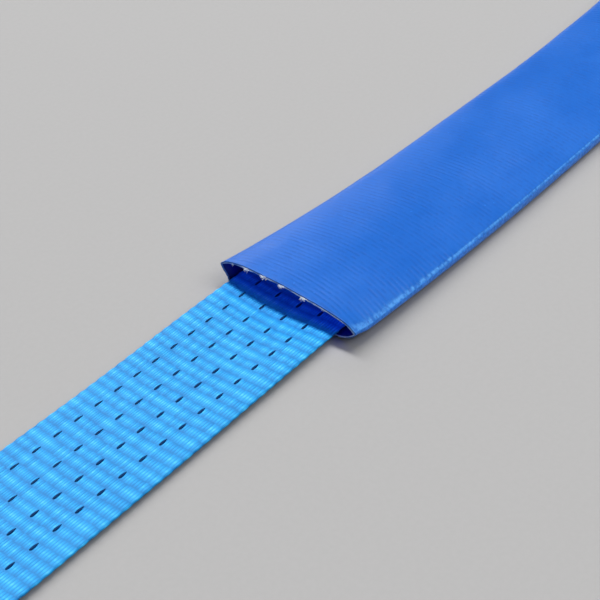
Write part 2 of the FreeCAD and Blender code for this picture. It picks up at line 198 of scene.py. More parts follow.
WEB_HIGH = cad_box("body_web")[1]
TAIL_LOW = cad_box("tail_b")[0]
LOOP_HIGH = cad_box("eye_loop_b")[1]
SEAM_LOW, SEAM_HIGH = cad_box("splice_stitching_b")
TACK_LOW, TACK_HIGH = cad_box("root_tack_b")
SLEEVE_LOW, SLEEVE_HIGH = cad_box("sleeve_cover")
LABEL_LOW, LABEL_HIGH = cad_box("label_sheet")
FILM_LOW, FILM_HIGH = cad_box("label_cover")
TAPE_LOW, TAPE_HIGH = cad_box("label_tape")

HALF_WEB = WEB_HIGH[1]
BODY_TOP = WEB_HIGH[2]
ROOT = WEB_HIGH[0]
SPLICE_END = TAIL_LOW[0]
LOOP_RADIUS = LOOP_HIGH[2] / 2
BIGHT = LOOP_HIGH[0] - LOOP_RADIUS
WEB_TOP = 3.45  # of the bare stretch, which sinks between the splices
FRONT, BACK = SLEEVE_LOW[0], SLEEVE_HIGH[0]

# The weave, which the web's mesh and its material share
PITCH = 11.58  # from one float of a warp end to its next
WEAVE_START = -1.2  # where along the web one band of floats has its middle
LANE = 1.2  # between neighbours of one band
FLOAT_HALF = (2.7, 3.3)  # half a float's length, in the bands with and without marker dashes
CROWN_HALF = (0.75, 1.15)  # half the length of its bright crown, where a highlight is painted
# strength of the highlight painted on the crowns, in each band
CROWN_SHINE = (0.7, 1.0)
BAND_LEAN, BAND_BOW = 0.02, 0.0012  # how far a band leads towards +X across the web

LINING_GLOW = (1.5, 0.04)  # painted glow (emission) for the light that comes through the sleeve's upper wall, at a mouth and further in
GLOW_RUN = 13.0  # length over which it falls


# ---------------------------------------------------------------- small tools

def smooth(value, start, end):
    """0 before start, 1 after end, and a smooth turn between them."""
    t = np.clip((np.asarray(value, float) - start) / (end - start), 0.0, 1.0)
    return t * t * (3.0 - 2.0 * t)


def table_noise(seed, shape, u, v):
    """Smooth noise from 0 to 1: a wrapping table of seeded numbers, one to each whole step of u and v."""
    table = np.random.default_rng(seed).random(shape)
    u0, v0 = np.floor(u).astype(int), np.floor(v).astype(int)
    fu, fv = smooth(u - u0, 0, 1), smooth(v - v0, 0, 1)

    def at(i, j):
        return table[(u0 + i) % shape[0], (v0 + j) % shape[1]]

    low = at(0, 0) * (1 - fu) + at(1, 0) * fu
    high = at(0, 1) * (1 - fu) + at(1, 1) * fu
    return low * (1 - fv) + high * fv


def places_between(start, end, step):
    """Even places from start to end, about a step apart."""
    return np.linspace(start, end, int(round((end - start) / step)) + 1)


def tube_quads(rings, columns, first=0):
    """Quads between rings that turn anticlockwise seen from +X, facing outwards."""
    start = np.arange(rings - 1)[:, None] * columns
    here = np.arange(columns)[None, :]
    after = (here + 1) % columns
    corners = [start + here, start + after, start + columns + after, start + columns + here]
    return np.stack(corners, axis=-1).reshape(-1, 4) + first


def add_object(name, data):
    item = bpy.data.objects.new(name, data)
    bpy.context.scene.collection.objects.link(item)
    return item


def make_mesh(name, points, quads, material, others=(), flip=False, **attributes):
    """A smooth-shaded mesh object. others are further faces; attributes hold one number for each point."""
    groups = [np.asarray(quads), *(np.atleast_2d(group) for group in others)]
    corners = np.concatenate([group.ravel() for group in groups])
    sizes = np.concatenate([np.full(group.shape[0], group.shape[1]) for group in groups])
    starts = np.concatenate([[0], np.cumsum(sizes)[:-1]])
    mesh = bpy.data.meshes.new(name)
    mesh.vertices.add(len(points))
    mesh.vertices.foreach_set("co", (np.asarray(points) * MM).astype(np.float32).ravel())
    mesh.loops.add(len(corners))
    mesh.loops.foreach_set("vertex_index", corners.astype(np.int32))
    mesh.polygons.add(len(sizes))
    mesh.polygons.foreach_set("loop_start", starts.astype(np.int32))
    mesh.update(calc_edges=True)
    if flip:
        mesh.flip_normals()
    mesh.shade_smooth()
    for key, values in attributes.items():
        layer = mesh.attributes.new(key, "FLOAT", "POINT")
        layer.data.foreach_set("value", np.asarray(values, np.float32).ravel())
    mesh.materials.append(material)
    return add_object(name, mesh)


# ---------------------------------------------------------------- nodes

class Value:
    """What a node of a material puts out. Arithmetic on it adds Math nodes."""

    def __init__(self, tree, socket):
        self.tree, self.socket = tree, socket

    def math(self, operation, *others):
        return add_node(self.tree, "Math", dict(enumerate((self, *others))), operation=operation)

    def __add__(self, other):
        return self.math("ADD", other)

    def __sub__(self, other):
        return self.math("SUBTRACT", other)

    def __rsub__(self, other):
        return add_node(self.tree, "Math", {0: other, 1: self}, operation="SUBTRACT")

    def __mul__(self, other):
        return self.math("MULTIPLY", other)

    def __truediv__(self, other):
        return self.math("DIVIDE", other)

    def __abs__(self):
        return self.math("ABSOLUTE")

    def __round__(self):
        return self.math("ROUND")


def put(source, target):
    """Feeds an input from a Value, or sets it from a plain number, vector or colour."""
    if isinstance(source, Value):
        source.tree.links.new(source.socket, target)
    else:
        target.default_value = (*source, 1.0) if target.type == "RGBA" else source


def add_node(tree, kind, inputs, output=0, **settings):
    """Adds a shader node with its settings and inputs, and gives what it puts out."""
    node = tree.nodes.new("ShaderNode" + kind)
    for key, value in settings.items():
        setattr(node, key, value)
    for key, value in inputs.items():
        put(value, node.inputs[key])
    return Value(tree, node.outputs[output])


def attribute(tree, name):
    return add_node(tree, "Attribute", {}, "Fac", attribute_name=name)


def axis(vector, number):
    """The x, y or z of a vector."""
    return add_node(vector.tree, "SeparateXYZ", {0: vector}, number)


def cell(x, y):
    return add_node(x.tree, "CombineXYZ", {0: x, 1: y})


def spread(value, low, high, to_low=0.0, to_high=1.0):
    """A Map Range node with smooth ends."""
    ends = {"From Min": low, "From Max": high, "To Min": to_low, "To Max": to_high}
    return add_node(
        value.tree, "MapRange", {"Value": value, **ends}, "Result", interpolation_type="SMOOTHSTEP"
    )


def ramp(value, *stops):
    """A Color Ramp node; each stop is a place and a colour."""
    colour = add_node(value.tree, "ValToRGB", {"Fac": value}, "Color")
    elements = colour.socket.node.color_ramp.elements
    while len(elements) < len(stops):
        elements.new(0.5)
    for element, (place, shade) in zip(elements, stops):
        element.position = place
        element.color = (*shade, 1.0)
    return colour


def mix(share, first, second):
    """A colour Mix node, whose colours are inputs 6 and 7 and output 2."""
    return add_node(share.tree, "Mix", {"Factor": share, 6: first, 7: second}, 2, data_type="RGBA")


def noise(place, detail):
    inputs = {"Vector": place, "Scale": 1.0, "Detail": detail, "Roughness": 0.55}
    return add_node(place.tree, "TexNoise", inputs, "Fac")


def object_place(tree, *stretch):
    """Object coordinates in millimetres, stretched."""
    place = add_node(tree, "TexCoord", {}, "Object")
    return add_node(tree, "VectorMath", {0: place, 1: [s / MM for s in stretch]}, operation="MULTIPLY")


def object_noise(tree, *stretch, detail=3.0):
    return noise(object_place(tree, *stretch), detail)


def cloth_noise(tree, along_scale, across_scale, detail=3.0):
    """Noise over a piece's own along and across attributes, so that it follows the piece's folds."""
    place = cell(attribute(tree, "along") * along_scale, attribute(tree, "across") * across_scale)
    return noise(place, detail)


def paint(shader, colour):
    put(colour, shader.inputs["Base Color"])


def bump(shader, height, strength, distance_mm):
    inputs = {"Strength": strength, "Distance": distance_mm * MM, "Height": height}
    put(add_node(height.tree, "Bump", inputs, "Normal"), shader.inputs["Normal"])


# ---------------------------------------------------------------- materials

def new_material(name, roughness, **shader_inputs):
    """A node material, its tree and its Principled shader."""
    material = bpy.data.materials.new(name)
    material.use_nodes = True
    tree = material.node_tree
    shader = next(n for n in tree.nodes if n.type == "BSDF_PRINCIPLED")
    for key, value in {"Roughness": roughness, **shader_inputs}.items():
        put(value, shader.inputs[key.replace("_", " ")])
    return material, tree, shader


def woven_pattern(tree):
    """The warp floats of two bands in turn: how high a place is on its float, the painted highlight (gleam) of its
    crown, and a random shade of colour for each float.
    """
    along, across = attribute(tree, "along"), attribute(tree, "across")
    lead = (across * BAND_BOW + BAND_LEAN) * across + WEAVE_START
    led = (along - lead) / PITCH
    crest, gleam, shade = 0.0, 0.0, 0.5
    for phase, half, crown, shine in zip((0.0, 0.5), FLOAT_HALF, CROWN_HALF, CROWN_SHINE):
        turn, lane = led - phase, across / LANE - phase
        row, line = round(turn), round(lane)
        off_along, off_across = (turn - row) * PITCH, (lane - line) * 2.0
        narrow = (1.0 - off_across * off_across * 0.85).math("MAXIMUM", 0.0)
        reach, core = off_along / half, off_along / crown
        lift = (1.0 - reach * reach).math("MAXIMUM", 0.0) * narrow
        glow = (core * core * -1.0).math("EXPONENT") * narrow
        place = cell(row + phase, line + phase)
        chance = add_node(tree, "TexWhiteNoise", {"Vector": place}, "Value", noise_dimensions="2D")
        above = lift.math("GREATER_THAN", crest)
        shade = above * (chance - shade) + shade
        crest = lift.math("MAXIMUM", crest)
        gleam = (glow * shine * (chance * 0.7 + 0.4)).math("MAXIMUM", gleam)
    return crest, gleam, shade


def web_material():
    """Sky blue polyester with filament streaks: painted highlights on the floats' crowns, and painted shade, deeper
    blue, where they dive.
    """
    material, tree, shader = new_material(
        "web_weave", 0.5, Specular_IOR_Level=0.18, Sheen_Weight=0.03, Sheen_Roughness=0.4,
        Sheen_Tint=(0.5, 0.8, 1.0),
    )
    crest, gleam, shade = woven_pattern(tree)
    streak = cloth_noise(tree, 0.5, 7.0)
    # painted light and shade: lighter up each float's crest and on its crown, deeper blue in the dips
    level = crest * 0.42 + gleam * 0.40 + (shade - 0.5) * 0.22 + (streak - 0.5) * 0.22 + 0.10
    colour = ramp(
        level,
        (0.0, (0.003, 0.155, 0.47)),
        (0.35, (0.010, 0.300, 0.72)),
        (0.65, (0.024, 0.415, 0.87)),
        (1.0, (0.095, 0.580, 0.98)),
    )
    cloud = spread(cloth_noise(tree, 0.02, 0.05), 0.35, 0.75)
    paint(shader, mix(cloud * 0.12, colour, (0.03, 0.40, 0.90)))
    bump(shader, streak * 0.4 + crest, 0.45, 0.16)
    return material


def yarn_material(name, dark, light, twist=1.6, specular=0.3):
    """Thread or yarn with its twist across it."""
    material, tree, shader = new_material(name, 0.55, Specular_IOR_Level=specular)
    turn = attribute(tree, "along") * twist + attribute(tree, "across")
    level = (turn * (2 * math.pi)).math("SINE") * 0.28 + object_noise(tree, 1.3, 1.3, 1.3)
    paint(shader, ramp(level, (0.2, dark), (0.85, light)))
    bump(shader, level, 0.4, 0.08)
    return material


def pad_material():
    """Deeper blue webbing that lines the eye, painted lighter on its weave's crests and darker in the dips as light
    and shade.
    """
    material, tree, shader = new_material("pad_weave", 0.6, Specular_IOR_Level=0.3, Sheen_Weight=0.15)
    streak = cloth_noise(tree, 0.6, 6.0)
    # the crest lifts the colour: painted light on the weave's crests, painted shade in its dips
    level = (streak - 0.5) * 0.5 + attribute(tree, "crest")
    paint(shader, ramp(
        level, (0.0, (0.004, 0.030, 0.20)), (0.5, (0.010, 0.085, 0.42)), (1.0, (0.030, 0.170, 0.60))
    ))
    bump(shader, streak, 0.35, 0.1)
    return material


def cover_material():
    """Soft blue plastic over cross ribs with faint flecks: short dark strokes of painted shade in the rib grooves, and
    painted light on the near fold, mottled, with a painted highlight along its crease.
    """
    material, tree, shader = new_material(
        "sleeve_gloss", 0.36, Specular_IOR_Level=0.30, Coat_Weight=0.03, Coat_Roughness=0.3
    )
    turn, girth = attribute(tree, "along"), attribute(tree, "across")
    row = round(turn)
    # painted shade: short dark strokes in the rib grooves, broken up along each rib
    groove = spread(abs(turn - row), 0.10, 0.34, 1.0, 0.0)
    stroke = spread(noise(cell(row * 7.31, girth * 0.30), 2.0), 0.38, 0.58)
    patch = spread(cloth_noise(tree, 0.14, 0.07, detail=2.0), 0.3, 0.7, 0.45, 1.0)
    dark = groove * stroke * patch
    cloud = object_noise(tree, 0.018, 0.03, 0.03, detail=4.0)
    base = ramp(
        cloud, (0.3, (0.0025, 0.109, 0.505)), (0.55, (0.0030, 0.119, 0.535)), (0.8, (0.0040, 0.130, 0.565))
    )
    fleck = spread(cloth_noise(tree, 0.9, 0.45, detail=2.0), 0.70, 0.78)
    mottle = spread(object_noise(tree, 0.7, 0.9, 0.9), 0.38, 0.66, 0.30, 0.95)
    broken = spread(object_noise(tree, 0.45, 0.3, 0.3), 0.35, 0.62, 0.15, 1.0)
    for share, colour in (
        # painted shade in the rib grooves
        (dark * 0.40, (0.0015, 0.067, 0.345)),
        (fleck * 0.5, (0.03, 0.27, 0.90)),
        # painted light: the near fold paler and mottled, and a highlight along its crease
        (attribute(tree, "fold") * mottle, (0.034, 0.250, 0.92)),
        (attribute(tree, "crease_highlight") * broken, (0.100, 0.400, 0.98)),
    ):
        base = mix(share, base, colour)
    paint(shader, base)
    put(spread(cloud, 0.3, 0.75, 0.32, 0.44), shader.inputs["Roughness"])
    bump(shader, dark * -0.8 + object_noise(tree, 0.5, 1.2, 1.2, detail=4.0), 0.16, 0.2)
    return material


def jacket_material():
    """The pale woven yarn between the sleeve's two plastic skins, seen at the cut ends: bluer towards +Y."""
    material, tree, shader = new_material("sleeve_jacket_weave", 0.7, Sheen_Weight=0.2)
    # the pale yarn colour gives way to blue towards +Y
    pale_towards_minus_y = spread(axis(object_place(tree, 1.0, 1.0, 1.0), 1), 12.0, 27.0, 1.0, 0.12)
    grain = spread(object_noise(tree, 0.3, 0.16, 0.16), 0.34, 0.58, 0.2, 1.0)
    paint(shader, mix(grain * pale_towards_minus_y, (0.03, 0.15, 0.55), (0.60, 0.76, 0.97)))
    bump(shader, object_noise(tree, 2.0, 2.0, 2.0), 0.4, 0.1)
    return material


def lining_material():
    """The sleeve's inner skin: saturated deep blue, partly its own colour and partly painted shade of the sleeve's
    inside, with a painted glow (emission) on its downward faces near the mouths that stands in for the light coming
    through its thin upper wall.
    """
    material, tree, shader = new_material(
        "sleeve_lining_skin", 0.5, Specular_IOR_Level=0.25, Emission_Color=(0.001, 0.050, 1.0)
    )
    cloud = object_noise(tree, 0.1, 0.25, 0.25)
    paint(shader, ramp(cloud, (0.3, (0.0006, 0.011, 0.15)), (0.7, (0.0010, 0.018, 0.22))))
    facing_down = spread(axis(add_node(tree, "NewGeometry", {}, "Normal"), 2), -0.9, -0.5, 1.0, 0.0)
    from_middle = abs(axis(object_place(tree, 1.0, 1.0, 1.0), 0) - (FRONT + BACK) / 2)
    mouth = (BACK - FRONT) / 2
    glow = spread(from_middle, mouth - GLOW_RUN, mouth, LINING_GLOW[1], LINING_GLOW[0])
    # painted light: the lining's downward faces glow though it is no lamp, most at the mouths
    put(facing_down * glow, shader.inputs["Emission Strength"])
    bump(shader, object_noise(tree, 0.7, 0.2, 0.7), 0.25, 0.2)
    return material


def fray_material():
    """Loose filament ends."""
    material, tree, shader = new_material("frayed_yarn", 0.6, Sheen_Weight=0.3)
    grain = object_noise(tree, 1.5, 1.5, 1.5)
    paint(shader, ramp(grain, (0.3, (0.72, 0.78, 0.88)), (0.6, (0.95, 0.96, 0.98))))
    bump(shader, grain, 0.2, 0.05)
    return material


def label_material():
    """Plain blue label cloth with a fine weave, and nothing printed on it."""
    material, tree, shader = new_material("label_cloth", 0.7, Sheen_Weight=0.1)
    warp, weft = ((attribute(tree, name) * 12.0).math("SINE") for name in ("along", "across"))
    wave = warp * weft
    level = wave * 0.12 + cloth_noise(tree, 0.08, 0.08, detail=4.0)
    paint(shader, ramp(level, (0.25, (0.012, 0.12, 0.46)), (0.75, (0.03, 0.21, 0.62))))
    bump(shader, wave, 0.25, 0.06)
    return material


def film_material():
    """Clear soft film, a little scratched."""
    material, tree, shader = new_material("clear_film", 0.1, Specular_IOR_Level=0.6, Alpha=0.22)
    scratch = cloth_noise(tree, 0.9, 0.08, detail=5.0)
    paint(shader, ramp(scratch, (0.4, (0.80, 0.90, 1.0)), (0.8, (0.95, 0.98, 1.0))))
    put(spread(scratch, 0.4, 0.8, 0.06, 0.3), shader.inputs["Roughness"])
    put(spread(scratch, 0.5, 0.8, 0.16, 0.34), shader.inputs["Alpha"])
    bump(shader, cloth_noise(tree, 0.1, 0.1), 0.3, 0.4)
    return material


WEB = web_material()
MARKER = yarn_material("marker_yarn", (0.0002, 0.018, 0.075), (0.0006, 0.044, 0.16), specular=0.05)
THREAD = yarn_material("sewing_thread", (0.006, 0.050, 0.26), (0.020, 0.130, 0.46))
TAPE = yarn_material("tape_weave", (0.006, 0.060, 0.30), (0.018, 0.120, 0.44), twist=0.9)
PAD = pad_material()
COVER = cover_material()
JACKET = jacket_material()
LINING = lining_material()
FRAY = fray_material()
LABEL = label_material()
FILM = film_material()


# ---------------------------------------------------------------- camera, floor and lights

CAMERA_AZIMUTH = -52.261
CAMERA_ELEVATION = 37.367
CAMERA_DISTANCE = 590.6
CAMERA_LENS = 77.68
CAMERA_TARGET = (FRONT + 10.45, -3.98, WEB_TOP)
FLOOR_TOP = -0.15
FLOOR_SIZE = 9.0  # in metres
WALL_LIGHT, SKY_LIGHT = 0.34, 0.145
WALL_HEIGHT = 0.22  # where the one has turned into the other: the sine of that elevation


def away(azimuth, elevation):
    """Unit vector towards an azimuth and elevation, in degrees."""
    a, e = math.radians(azimuth), math.radians(elevation)
    return Vector((math.sin(a) * math.cos(e), -math.cos(a) * math.cos(e), math.sin(e)))


def make_camera():
    data = bpy.data.cameras.new("camera")
    data.lens = CAMERA_LENS
    data.sensor_width = 36.0
    data.clip_start = 0.01
    camera = add_object("camera", data)
    back = away(CAMERA_AZIMUTH, CAMERA_ELEVATION)
    camera.location = (Vector(CAMERA_TARGET) + back * CAMERA_DISTANCE) * MM
    camera.rotation_mode = "QUATERNION"
    camera.rotation_quaternion = (-back).to_track_quat("-Z", "Y")
    bpy.context.scene.camera = camera


def make_light(name, azimuth, elevation, distance, size, power, level_side=False):
    """A soft light that faces the middle of the sling. With level_side its second side runs along Y."""
    data = bpy.data.lights.new(name, "AREA")
    data.shape = "RECTANGLE"
    data.size, data.size_y = size
    data.energy = power
    light = add_object(name, data)
    light.visible_camera = False
    way = away(azimuth, elevation)
    light.location = way * distance
    light.rotation_mode = "QUATERNION"
    if level_side:
        upright = (Vector((0, 1, 0)) - way * way.y).normalized()
        light.rotation_quaternion = Matrix((upright.cross(way), upright, way)).transposed().to_quaternion()
    else:
        light.rotation_quaternion = (-way).to_track_quat("-Z", "Y")


def make_floor():
    material, tree, shader = new_material("floor_paper", 0.9, Specular_IOR_Level=0.1)
    grain = object_noise(tree, 0.4, 0.4, 0.4)
    paint(shader, ramp(grain, (0.3, (0.386, 0.382, 0.382)), (0.7, (0.396, 0.392, 0.392))))
    half = FLOOR_SIZE / MM / 2
    corners = [(x * half, y * half, FLOOR_TOP) for x, y in ((-1, -1), (1, -1), (1, 1), (-1, 1))]
    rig.stage(make_mesh("floor", corners, [(0, 1, 2, 3)], material))


def make_world():
    """A pale wall of light low down all round, and dimmer light from above."""
    world = bpy.data.worlds.new("studio")
    world.use_nodes = True
    background = next(n for n in world.node_tree.nodes if n.type == "BACKGROUND")
    put((1.0, 1.0, 1.0), background.inputs["Color"])
    height = axis(add_node(world.node_tree, "TexCoord", {}, "Generated"), 2)
    put(spread(height, 0.0, WALL_HEIGHT, WALL_LIGHT, SKY_LIGHT), background.inputs["Strength"])
    bpy.context.scene.world = world
    bpy.context.scene.view_settings.view_transform = "Standard"


make_camera()
make_floor()
make_world()
make_light("key", azimuth=141.5, elevation=61.8, distance=7.5, size=(1.25, 9.5), power=712.0, level_side=True)
make_light("fill", azimuth=22.0, elevation=50.0, distance=8.0, size=(5.0, 5.0), power=228.0)
make_light("rim", azimuth=146.0, elevation=24.0, distance=8.0, size=(4.0, 2.5), power=108.0)


# ---------------------------------------------------------------- the web

PLY = 2.1
RELIEF = 0.26
EDGE = 1.0  # radius of the selvedge
EDGE_SPARE = (0.35, 1.20)  # how far the selvedges at +Y and -Y stand out past the nominal width
SCALLOP = 0.12
ROW_STEP = PITCH / 10
FINE_COLUMN, COARSE_COLUMN = 0.3, 0.6
SEAM_PLACE = ROOT - 4.0  # where the body's mesh ends and the eyes' begin


def skew(across):
    """Where a band of floats lies along the web at a place across it."""
    return WEAVE_START + BAND_LEAN * across + BAND_BOW * across**2


def weave(along, across, half_pitch):
    """Crest of the warp floats from 0 to 1."""
    crest = np.zeros(np.broadcast(along, across).shape)
    led = along - skew(across) + half_pitch
    for phase, half in zip((0.0, 0.5), FLOAT_HALF):
        turn = led / PITCH - phase
        lane = across / LANE - phase
        away_along = (turn - np.round(turn)) * PITCH / half
        away_across = (lane - np.round(lane)) * 2.0
        lift = np.clip(1 - away_along**2, 0, 1) ** 0.6 * np.clip(1 - 0.85 * away_across**2, 0, 1) ** 0.6
        crest = np.maximum(crest, lift)
    rim = smooth(np.abs(across), HALF_WEB - 2.6, HALF_WEB - 0.6)
    band = 0.5 + 0.5 * np.cos(4 * math.pi * led / PITCH)
    return crest * (1 - rim) + band * rim * 0.8


def columns_of(step, reach):
    """Places across one face from -reach to +reach, closer together on the round selvedge."""
    straight = np.arange(-round((reach - EDGE) / step), round((reach - EDGE) / step) + 1) * step
    round_part = reach - EDGE * (1 - np.sin(np.radians([25.0, 50.0, 72.0])))
    return np.concatenate([-round_part[::-1], straight, round_part])


def no_lift(along, across):
    return 0.0


def strip(
    name, material, along, place, ply=PLY, relief=RELIEF, pattern=weave, lift=no_lift, mirror=False,
    half=HALF_WEB, outer_step=COARSE_COLUMN,
):
    """A closed woven strip. place(along) gives x, z and the outer normal; lift(along, across) raises it."""
    x, z, normal_x, normal_z = place(along)
    outer, inner = columns_of(outer_step, half)[::-1], columns_of(COARSE_COLUMN, half)
    across = np.concatenate([[half], outer, [-half], inner])
    side = np.concatenate([[0.0], np.ones(len(outer)), [0.0], -np.ones(len(inner))])
    s, y = along[:, None], across[None, :]
    round_edge = np.sqrt(np.clip(1 - np.clip((np.abs(across) - half + EDGE) / EDGE, 0, 1) ** 2, 0, 1))
    fullness = round_edge * (1 - 0.22 * smooth(np.abs(across), half - 5.0, half - 0.5))
    half_pitch = np.where(side < 0, PITCH / 2, 0.0)
    crest = pattern(s, y, half_pitch[None, :])
    height = (ply / 2 + relief * (crest - 0.7)) * fullness * side - ply / 2 + lift(s, y)
    bulge = SCALLOP * np.cos(4 * math.pi * s / PITCH) * smooth(np.abs(y), half - 2.5, half) * np.sign(y)
    spare = np.where(y > 0, EDGE_SPARE[0], -EDGE_SPARE[1]) * smooth(np.abs(y), half - 9.0, half)
    ways = -1.0 if mirror else 1.0
    out_x, out_z = x[:, None] + normal_x[:, None] * height, z[:, None] + normal_z[:, None] * height
    points = np.stack([ways * out_x, y + bulge + spare, out_z], axis=-1)
    rings, count = crest.shape
    caps = [np.arange(count)[::-1], np.arange(count) + (rings - 1) * count]
    return make_mesh(
        name, points.reshape(-1, 3), tube_quads(rings, count), material, others=caps, flip=mirror,
        along=s + np.broadcast_to(half_pitch, crest.shape), across=np.broadcast_to(y, crest.shape),
        crest=crest,
    )


def bare(x):
    """1 between the splices, turning to 0 where the tails begin."""
    return 1 - smooth(np.abs(x), SPLICE_END - 55, SPLICE_END - 4)


def web_top(x):
    """Height of the web's upper face along its middle: up on the tails at the splices, sunk between them."""
    return BODY_TOP + (WEB_TOP - BODY_TOP) * bare(x)


def body_place(x):
    return x, web_top(x), np.zeros_like(x), np.ones_like(x)


# The web's sides rise by each mouth: where that starts and is full, and where it starts to fall and is over
FRONT_CURL = (-105, -8, 15, 70)
REAR_CURL = (-70, -15, 8, 60)
REAR_SHARE = 0.6
CURL_LEFT, CURL_RIGHT = 1.9, 0.9  # at the +Y and the -Y selvedge
DROOP = 0.10  # of both sides of the bare stretch


def curl(x, y):
    """How far the web's sides leave its middle."""
    front, rear = (
        smooth(x - mouth, start, full) * (1 - smooth(x - mouth, turn, end))
        for mouth, (start, full, turn, end) in ((FRONT, FRONT_CURL), (BACK, REAR_CURL))
    )
    left = np.clip((y - 4) / (HALF_WEB - 4), 0, 1) ** 1.3
    right = smooth(-y, 6, 26)
    raised = (front + REAR_SHARE * rear) * (CURL_LEFT * left + CURL_RIGHT * right)
    return raised - DROOP * bare(x) * (left + right)


def follow(start, heading, segments, s):
    """Places and left-hand normals at arc lengths s along straight and round segments (length, curvature)."""
    x, z = start
    done = 0.0
    path = np.zeros((3, len(s)))
    for number, (length, curvature) in enumerate(segments):
        last = number == len(segments) - 1
        here = (s >= done) & ((s < done + length) | last)
        part = np.append(s[here] - done, length)
        way = heading + curvature * part
        if curvature:
            part_x = x + (np.sin(way) - math.sin(heading)) / curvature
            part_z = z - (np.cos(way) - math.cos(heading)) / curvature
        else:
            part_x, part_z = x + part * math.cos(heading), z + part * math.sin(heading)
        path[:, here] = part_x[:-1], part_z[:-1], way[:-1]
        x, z, heading = part_x[-1], part_z[-1], way[-1]
        done += length
    return path[0], path[1], -np.sin(path[2]), np.cos(path[2])


ROOT_BEND = 50.0  # radius where the upper leg leaves the body
RISE, RUN = LOOP_RADIUS - BODY_TOP, BIGHT - ROOT
SLOPE = math.atan(RISE / RUN) + math.asin(LOOP_RADIUS / math.hypot(RISE, RUN))
LEG = math.sqrt(RISE**2 + RUN**2 - LOOP_RADIUS**2)
FILLET = ROOT_BEND * math.tan(SLOPE / 2)
EYE_SEGMENTS = (
    (ROOT - SEAM_PLACE - FILLET, 0.0),
    (ROOT_BEND * SLOPE, 1 / ROOT_BEND),
    (LEG - FILLET, 0.0),
    (LOOP_RADIUS * (math.pi + SLOPE), -1 / LOOP_RADIUS),
    (BIGHT - SPLICE_END, 0.0),
)
EYE_LENGTH = sum(length for length, _ in EYE_SEGMENTS)
BIGHT_START = sum(length for length, _ in EYE_SEGMENTS[:3])
BIGHT_END = sum(length for length, _ in EYE_SEGMENTS[:4])


def eye_place(along):
    """The outer face of end B's eye and tail; along carries on from the body's X."""
    return follow((SEAM_PLACE, BODY_TOP), 0.0, EYE_SEGMENTS, along - SEAM_PLACE)


def make_web():
    """The body of the web, and each end's eye with its tail as one strip."""
    rows = places_between(-SEAM_PLACE, SEAM_PLACE, ROW_STEP)
    body = strip("web_body", WEB, rows, body_place, lift=curl, outer_step=FINE_COLUMN)
    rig.ride(body, "web")
    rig.replaces(body, "body_web")
    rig.slot(body, "web")
    eyes = {}
    rows = places_between(SEAM_PLACE, SEAM_PLACE + EYE_LENGTH, ROW_STEP)
    for end in ("a", "b"):
        eye = strip(f"web_eye_{end}", WEB, rows, eye_place, mirror=end == "a")
        across_root(eye, end)
        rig.replaces(eye, f"eye_loop_{end}", f"tail_{end}")
        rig.slot(eye, "web")
        eyes[end] = eye
    return body, eyes


def across_root(piece, end):
    """The piece bends with the fold at the eye's root."""
    way = 1 if end == "b" else -1
    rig.blend(
        piece, "web", f"eye_{end}",
        start=(way * (ROOT - 1) * MM, 0, BODY_TOP * MM),
        end=(way * (ROOT + 28) * MM, 0, BODY_TOP * MM),
    )


# ---------------------------------------------------------------- grains: marker floats and stitches

GRAIN_RINGS = 7
GRAIN_SIDES = 8


def grains(name, material, centres, along, side, up, length, width, height, tail=0.0):
    """Many small raised lenses in one mesh: centres and axes have one row for each, and so may the sizes."""
    turn = np.linspace(0, math.pi, GRAIN_RINGS + 2)[1:-1]
    place = -np.cos(turn) / 2
    girth = np.sin(turn) ** 0.8 * (1 - tail * smooth(place, -0.1, 0.5))
    angle = np.arange(GRAIN_SIDES) * 2 * math.pi / GRAIN_SIDES
    wide, high = girth[:, None] * np.cos(angle) / 2, girth[:, None] * np.sin(angle)
    ring = np.stack([np.repeat(place, GRAIN_SIDES), wide.ravel(), high.ravel()], axis=-1)
    shape = np.concatenate([ring, [[-0.5, 0, 0], [0.5, 0, 0]]])
    sizes = np.stack(np.broadcast_arrays(np.zeros(len(centres)), length, width, height)[1:], axis=-1)
    shapes = shape[None] * sizes[:, None, :]
    axes = np.stack([along, side, up], axis=1)
    points = centres[:, None, :] + np.einsum("npk,nkc->npc", shapes, axes)
    here = np.arange(GRAIN_SIDES)
    after, top = (here + 1) % GRAIN_SIDES, (GRAIN_RINGS - 1) * GRAIN_SIDES
    first, last = np.full_like(here, len(ring)), np.full_like(here, len(ring) + 1)
    fan = np.stack([first, after, here, last, top + here, top + after], axis=-1).reshape(-1, 3)
    shift = np.arange(len(centres))[:, None, None] * len(shape)
    quads = (tube_quads(GRAIN_RINGS, GRAIN_SIDES) + shift).reshape(-1, 4)
    return make_mesh(
        name, points.reshape(-1, 3), quads, material, others=[(fan + shift).reshape(-1, 3)],
        along=shapes[:, :, 0], across=shapes[:, :, 1],
    )


def on_strip(place, along, across, depth, lift=no_lift, mirror=False):
    """Centres and axes on a strip's outer face, moved inwards by depth."""
    x, z, normal_x, normal_z = place(along)
    height = lift(along, across) - depth
    ways = -1.0 if mirror else 1.0
    flat = np.zeros_like(x)
    centres = np.stack([ways * (x + normal_x * height), across, z + normal_z * height], axis=-1)
    forward = np.stack([ways * normal_z, flat, -normal_x], axis=-1)
    outward = np.stack([ways * normal_x, flat, normal_z], axis=-1)
    return centres, forward, np.cross(outward, forward), outward


MARKER_PLACES = (-17.95, -6.0, 6.35, 18.75)
DASH_LENGTH = 4.8
DASH_WIDTH = 1.45
DASH_RISE = 0.36
DASH_SINK = 0.02
FLOOR_RISE = 0.12  # of what lies between the tails and the floor


